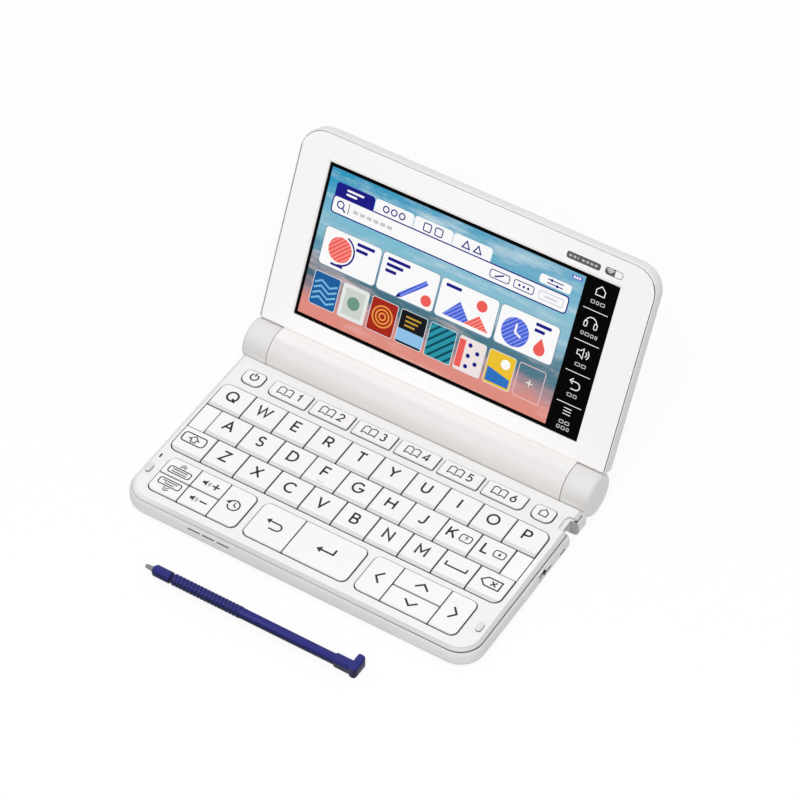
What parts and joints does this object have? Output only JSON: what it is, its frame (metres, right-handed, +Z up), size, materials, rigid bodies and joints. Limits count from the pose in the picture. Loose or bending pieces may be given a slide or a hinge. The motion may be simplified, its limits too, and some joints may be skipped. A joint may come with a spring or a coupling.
{
  "type": "electronic dictionary",
  "caption": "White clamshell electronic dictionary with a letter keyboard, a touch screen in a lid that turns on a cell-holding hinge barrel, and a blue stylus beside it.",
  "frame": {"origin": "on the table, under the middle of the whole thing as it stands: lid leaning back, stylus lying in front", "axes": "+X to the user's right along the hinge, +Y away from the user, +Z up"},
  "size_m": [0.148, 0.1541, 0.0885],
  "materials": {
    "case_white": "satin",
    "key_white": "fine matt",
    "screen_glass": "polished",
    "stylus_blue": "satin",
    "grey_rubber": "matt",
    "circuit_board": "satin",
    "screw_steel": "satin",
    "cell_metal": "satin"
  },
  "bodies": {
    "base": {"bottom_case": "case_white", "deck_cover": "case_white", "main_board": "circuit_board", "rubber_feet": "grey_rubber", "case_screws": "screw_steel"},
    "lid": {"lid_shell": "case_white", "lid_bezel": "case_white", "display_panel": "screen_glass", "batteries": "cell_metal"},
    "battery_cover": {"battery_cover": "case_white"},
    "port_cover": {"port_cover": "case_white"},
    "stylus": {"stylus": "stylus_blue"},
    "key_power": {"key_power": "key_white"},
    "key_tab_1": {"key_tab_1": "key_white"},
    "key_tab_2": {"key_tab_2": "key_white"},
    "key_tab_3": {"key_tab_3": "key_white"},
    "key_tab_4": {"key_tab_4": "key_white"},
    "key_tab_5": {"key_tab_5": "key_white"},
    "key_tab_6": {"key_tab_6": "key_white"},
    "key_home": {"key_home": "key_white"},
    "key_q": {"key_q": "key_white"},
    "key_w": {"key_w": "key_white"},
    "key_e": {"key_e": "key_white"},
    "key_r": {"key_r": "key_white"},
    "key_t": {"key_t": "key_white"},
    "key_y": {"key_y": "key_white"},
    "key_u": {"key_u": "key_white"},
    "key_i": {"key_i": "key_white"},
    "key_o": {"key_o": "key_white"},
    "key_p": {"key_p": "key_white"},
    "key_a": {"key_a": "key_white"},
    "key_s": {"key_s": "key_white"},
    "key_d": {"key_d": "key_white"},
    "key_f": {"key_f": "key_white"},
    "key_g": {"key_g": "key_white"},
    "key_h": {"key_h": "key_white"},
    "key_j": {"key_j": "key_white"},
    "key_k": {"key_k": "key_white"},
    "key_l": {"key_l": "key_white"},
    "key_shift": {"key_shift": "key_white"},
    "key_z": {"key_z": "key_white"},
    "key_x": {"key_x": "key_white"},
    "key_c": {"key_c": "key_white"},
    "key_v": {"key_v": "key_white"},
    "key_b": {"key_b": "key_white"},
    "key_n": {"key_n": "key_white"},
    "key_m": {"key_m": "key_white"},
    "key_space": {"key_space": "key_white"},
    "key_delete": {"key_delete": "key_white"},
    "key_prev": {"key_prev": "key_white"},
    "key_next": {"key_next": "key_white"},
    "key_vol_up": {"key_vol_up": "key_white"},
    "key_vol_down": {"key_vol_down": "key_white"},
    "key_history": {"key_history": "key_white"},
    "key_back": {"key_back": "key_white"},
    "key_enter": {"key_enter": "key_white"},
    "key_left": {"key_left": "key_white"},
    "key_up": {"key_up": "key_white"},
    "key_down": {"key_down": "key_white"},
    "key_right": {"key_right": "key_white"}
  },
  "joints": [
    {"name": "lid_hinge", "type": "hinge", "parent": "base", "child": "lid", "pos_m": [0, 0.03295, 0.00935], "axis": [1, 0, 0], "range_deg": [-34.2, 115.8]},
    {"name": "battery_cover_slide", "type": "slide", "parent": "lid", "child": "battery_cover", "axis": [1, 0, 0], "range_m": [0, 0.0025]},
    {"name": "port_cover_hinge", "type": "hinge", "parent": "base", "child": "port_cover", "pos_m": [0.074, -0.01886, 0.0043], "axis": [0, 0, -1], "range_deg": [0, 95]},
    {"name": "stylus_lift", "type": "slide", "parent": "base", "child": "stylus", "axis": [0, 0, 1], "range_m": [0, 0.03]},
    {"name": "key_power_press", "type": "slide", "parent": "base", "child": "key_power", "axis": [0, 0, 1], "range_m": [-0.0006, 0], "stiffness_N_per_m": 300},
    {"name": "key_tab_1_press", "type": "slide", "parent": "base", "child": "key_tab_1", "axis": [0, 0, 1], "range_m": [-0.0006, 0], "stiffness_N_per_m": 300},
    {"name": "key_tab_2_press", "type": "slide", "parent": "base", "child": "key_tab_2", "axis": [0, 0, 1], "range_m": [-0.0006, 0], "stiffness_N_per_m": 300},
    {"name": "key_tab_3_press", "type": "slide", "parent": "base", "child": "key_tab_3", "axis": [0, 0, 1], "range_m": [-0.0006, 0], "stiffness_N_per_m": 300},
    {"name": "key_tab_4_press", "type": "slide", "parent": "base", "child": "key_tab_4", "axis": [0, 0, 1], "range_m": [-0.0006, 0], "stiffness_N_per_m": 300},
    {"name": "key_tab_5_press", "type": "slide", "parent": "base", "child": "key_tab_5", "axis": [0, 0, 1], "range_m": [-0.0006, 0], "stiffness_N_per_m": 300},
    {"name": "key_tab_6_press", "type": "slide", "parent": "base", "child": "key_tab_6", "axis": [0, 0, 1], "range_m": [-0.0006, 0], "stiffness_N_per_m": 300},
    {"name": "key_home_press", "type": "slide", "parent": "base", "child": "key_home", "axis": [0, 0, 1], "range_m": [-0.0006, 0], "stiffness_N_per_m": 300},
    {"name": "key_q_press", "type": "slide", "parent": "base", "child": "key_q", "axis": [0, 0, 1], "range_m": [-0.0006, 0], "stiffness_N_per_m": 300},
    {"name": "key_w_press", "type": "slide", "parent": "base", "child": "key_w", "axis": [0, 0, 1], "range_m": [-0.0006, 0], "stiffness_N_per_m": 300},
    {"name": "key_e_press", "type": "slide", "parent": "base", "child": "key_e", "axis": [0, 0, 1], "range_m": [-0.0006, 0], "stiffness_N_per_m": 300},
    {"name": "key_r_press", "type": "slide", "parent": "base", "child": "key_r", "axis": [0, 0, 1], "range_m": [-0.0006, 0], "stiffness_N_per_m": 300},
    {"name": "key_t_press", "type": "slide", "parent": "base", "child": "key_t", "axis": [0, 0, 1], "range_m": [-0.0006, 0], "stiffness_N_per_m": 300},
    {"name": "key_y_press", "type": "slide", "parent": "base", "child": "key_y", "axis": [0, 0, 1], "range_m": [-0.0006, 0], "stiffness_N_per_m": 300},
    {"name": "key_u_press", "type": "slide", "parent": "base", "child": "key_u", "axis": [0, 0, 1], "range_m": [-0.0006, 0], "stiffness_N_per_m": 300},
    {"name": "key_i_press", "type": "slide", "parent": "base", "child": "key_i", "axis": [0, 0, 1], "range_m": [-0.0006, 0], "stiffness_N_per_m": 300},
    {"name": "key_o_press", "type": "slide", "parent": "base", "child": "key_o", "axis": [0, 0, 1], "range_m": [-0.0006, 0], "stiffness_N_per_m": 300},
    {"name": "key_p_press", "type": "slide", "parent": "base", "child": "key_p", "axis": [0, 0, 1], "range_m": [-0.0006, 0], "stiffness_N_per_m": 300},
    {"name": "key_a_press", "type": "slide", "parent": "base", "child": "key_a", "axis": [0, 0, 1], "range_m": [-0.0006, 0], "stiffness_N_per_m": 300},
    {"name": "key_s_press", "type": "slide", "parent": "base", "child": "key_s", "axis": [0, 0, 1], "range_m": [-0.0006, 0], "stiffness_N_per_m": 300},
    {"name": "key_d_press", "type": "slide", "parent": "base", "child": "key_d", "axis": [0, 0, 1], "range_m": [-0.0006, 0], "stiffness_N_per_m": 300},
    {"name": "key_f_press", "type": "slide", "parent": "base", "child": "key_f", "axis": [0, 0, 1], "range_m": [-0.0006, 0], "stiffness_N_per_m": 300},
    {"name": "key_g_press", "type": "slide", "parent": "base", "child": "key_g", "axis": [0, 0, 1], "range_m": [-0.0006, 0], "stiffness_N_per_m": 300},
    {"name": "key_h_press", "type": "slide", "parent": "base", "child": "key_h", "axis": [0, 0, 1], "range_m": [-0.0006, 0], "stiffness_N_per_m": 300},
    {"name": "key_j_press", "type": "slide", "parent": "base", "child": "key_j", "axis": [0, 0, 1], "range_m": [-0.0006, 0], "stiffness_N_per_m": 300},
    {"name": "key_k_press", "type": "slide", "parent": "base", "child": "key_k", "axis": [0, 0, 1], "range_m": [-0.0006, 0], "stiffness_N_per_m": 300},
    {"name": "key_l_press", "type": "slide", "parent": "base", "child": "key_l", "axis": [0, 0, 1], "range_m": [-0.0006, 0], "stiffness_N_per_m": 300},
    {"name": "key_shift_press", "type": "slide", "parent": "base", "child": "key_shift", "axis": [0, 0, 1], "range_m": [-0.0006, 0], "stiffness_N_per_m": 300},
    {"name": "key_z_press", "type": "slide", "parent": "base", "child": "key_z", "axis": [0, 0, 1], "range_m": [-0.0006, 0], "stiffness_N_per_m": 300},
    {"name": "key_x_press", "type": "slide", "parent": "base", "child": "key_x", "axis": [0, 0, 1], "range_m": [-0.0006, 0], "stiffness_N_per_m": 300},
    {"name": "key_c_press", "type": "slide", "parent": "base", "child": "key_c", "axis": [0, 0, 1], "range_m": [-0.0006, 0], "stiffness_N_per_m": 300},
    {"name": "key_v_press", "type": "slide", "parent": "base", "child": "key_v", "axis": [0, 0, 1], "range_m": [-0.0006, 0], "stiffness_N_per_m": 300},
    {"name": "key_b_press", "type": "slide", "parent": "base", "child": "key_b", "axis": [0, 0, 1], "range_m": [-0.0006, 0], "stiffness_N_per_m": 300},
    {"name": "key_n_press", "type": "slide", "parent": "base", "child": "key_n", "axis": [0, 0, 1], "range_m": [-0.0006, 0], "stiffness_N_per_m": 300},
    {"name": "key_m_press", "type": "slide", "parent": "base", "child": "key_m", "axis": [0, 0, 1], "range_m": [-0.0006, 0], "stiffness_N_per_m": 300},
    {"name": "key_space_press", "type": "slide", "parent": "base", "child": "key_space", "axis": [0, 0, 1], "range_m": [-0.0006, 0], "stiffness_N_per_m": 300},
    {"name": "key_delete_press", "type": "slide", "parent": "base", "child": "key_delete", "axis": [0, 0, 1], "range_m": [-0.0006, 0], "stiffness_N_per_m": 300},
    {"name": "key_prev_press", "type": "slide", "parent": "base", "child": "key_prev", "axis": [0, 0, 1], "range_m": [-0.0006, 0], "stiffness_N_per_m": 300},
    {"name": "key_next_press", "type": "slide", "parent": "base", "child": "key_next", "axis": [0, 0, 1], "range_m": [-0.0006, 0], "stiffness_N_per_m": 300},
    {"name": "key_vol_up_press", "type": "slide", "parent": "base", "child": "key_vol_up", "axis": [0, 0, 1], "range_m": [-0.0006, 0], "stiffness_N_per_m": 300},
    {"name": "key_vol_down_press", "type": "slide", "parent": "base", "child": "key_vol_down", "axis": [0, 0, 1], "range_m": [-0.0006, 0], "stiffness_N_per_m": 300},
    {"name": "key_history_press", "type": "slide", "parent": "base", "child": "key_history", "axis": [0, 0, 1], "range_m": [-0.0006, 0], "stiffness_N_per_m": 300},
    {"name": "key_back_press", "type": "slide", "parent": "base", "child": "key_back", "axis": [0, 0, 1], "range_m": [-0.0006, 0], "stiffness_N_per_m": 300},
    {"name": "key_enter_press", "type": "slide", "parent": "base", "child": "key_enter", "axis": [0, 0, 1], "range_m": [-0.0006, 0], "stiffness_N_per_m": 300},
    {"name": "key_left_press", "type": "slide", "parent": "base", "child": "key_left", "axis": [0, 0, 1], "range_m": [-0.0006, 0], "stiffness_N_per_m": 300},
    {"name": "key_up_press", "type": "slide", "parent": "base", "child": "key_up", "axis": [0, 0, 1], "range_m": [-0.0006, 0], "stiffness_N_per_m": 300},
    {"name": "key_down_press", "type": "slide", "parent": "base", "child": "key_down", "axis": [0, 0, 1], "range_m": [-0.0006, 0], "stiffness_N_per_m": 300},
    {"name": "key_right_press", "type": "slide", "parent": "base", "child": "key_right", "axis": [0, 0, 1], "range_m": [-0.0006, 0], "stiffness_N_per_m": 300}
  ]
}
